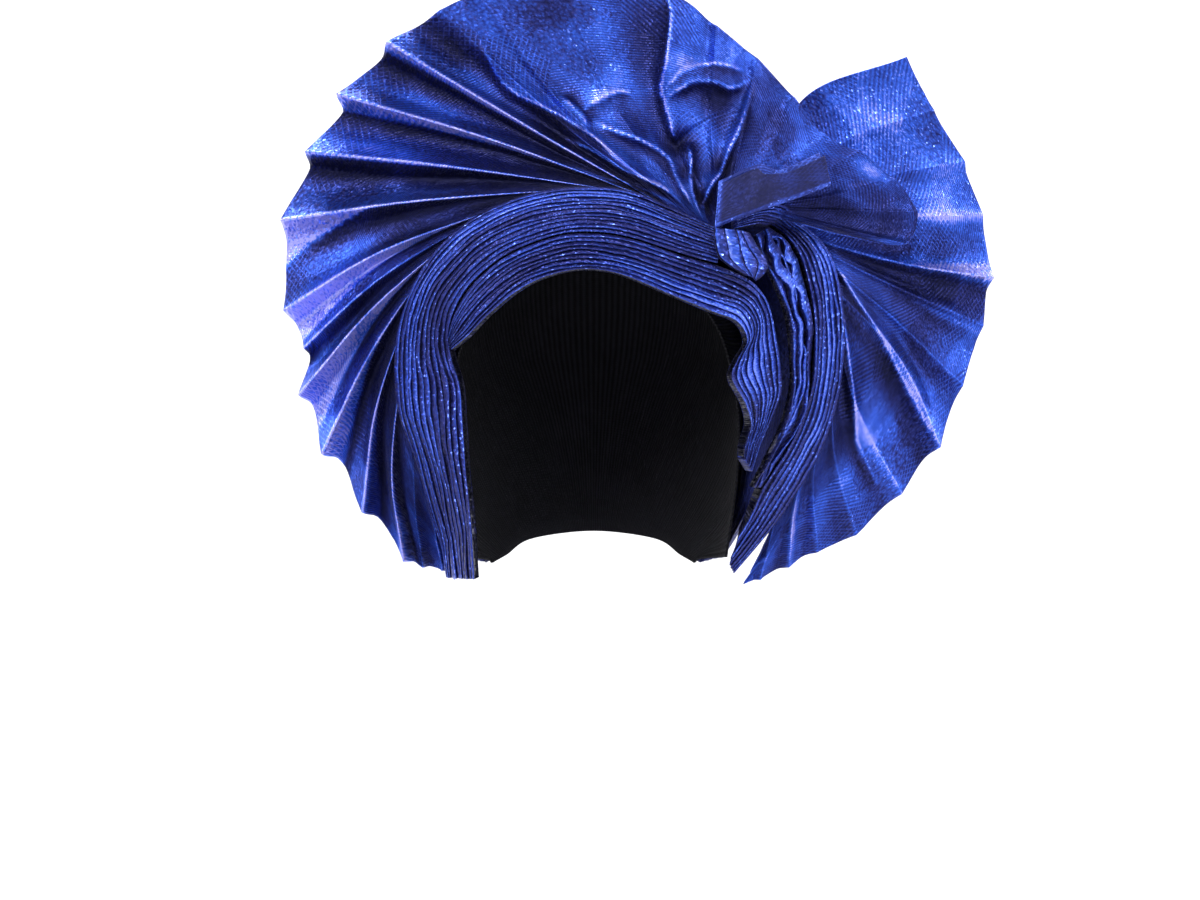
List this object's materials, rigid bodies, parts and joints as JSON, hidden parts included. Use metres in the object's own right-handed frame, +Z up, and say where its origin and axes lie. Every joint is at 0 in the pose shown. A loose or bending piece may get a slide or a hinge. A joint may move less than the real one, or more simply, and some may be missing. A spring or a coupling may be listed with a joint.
{
  "type": "pre-tied head tie",
  "caption": "Pre-tied head tie in royal blue metallic cloth: pleated bands round the face, wide folded fans, a gathered knot with a folded tab, and a lined hood.",
  "frame": {"origin": "where the crown of the head bears on the inside of the cap lining", "axes": "+Z up, -Y towards the wearer's front, +X towards the wearer's left"},
  "size_m": [0.357, 0.2017, 0.3008],
  "materials": {
    "metallic_cloth": "royal blue cloth woven with metallic thread",
    "plain_side": "duller side of the same metallic cloth",
    "lining": "matt black cap lining"
  },
  "bodies": {
    "root": {"cap_lining": "lining", "hood": "plain_side", "crown_pleats": "metallic_cloth", "brow_pleats": "metallic_cloth", "temple_pleats": "metallic_cloth", "ruffle": "metallic_cloth", "front_fan": "metallic_cloth", "left_fan": "metallic_cloth", "knot": "metallic_cloth", "tab": "plain_side"}
  },
  "joints": []
}
